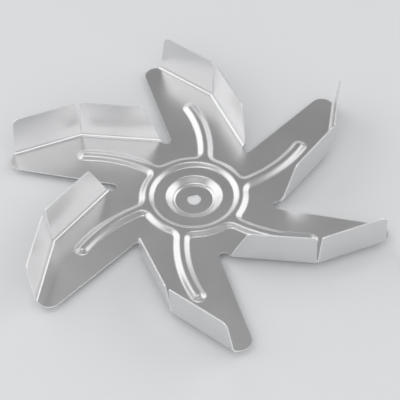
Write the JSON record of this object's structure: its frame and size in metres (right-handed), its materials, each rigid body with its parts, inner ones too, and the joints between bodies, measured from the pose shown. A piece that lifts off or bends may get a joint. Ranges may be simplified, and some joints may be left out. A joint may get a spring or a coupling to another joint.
{
  "type": "fan impeller",
  "caption": "Stamped sheet-metal fan impeller: flat ribbed blades with folded-up paddles around a dished hub with a D-shaped shaft hole.",
  "frame": {"origin": "where the fan axis meets the underside of the hub seat", "axes": "+Z along the fan axis, the way the paddles stand up; blade 0 points along +Y"},
  "size_m": [0.1676, 0.175, 0.0218],
  "materials": {
    "sheet_steel": "satin aluminised sheet with bright sheared edges"
  },
  "bodies": {
    "root": {"impeller": "sheet_steel"}
  },
  "joints": []
}
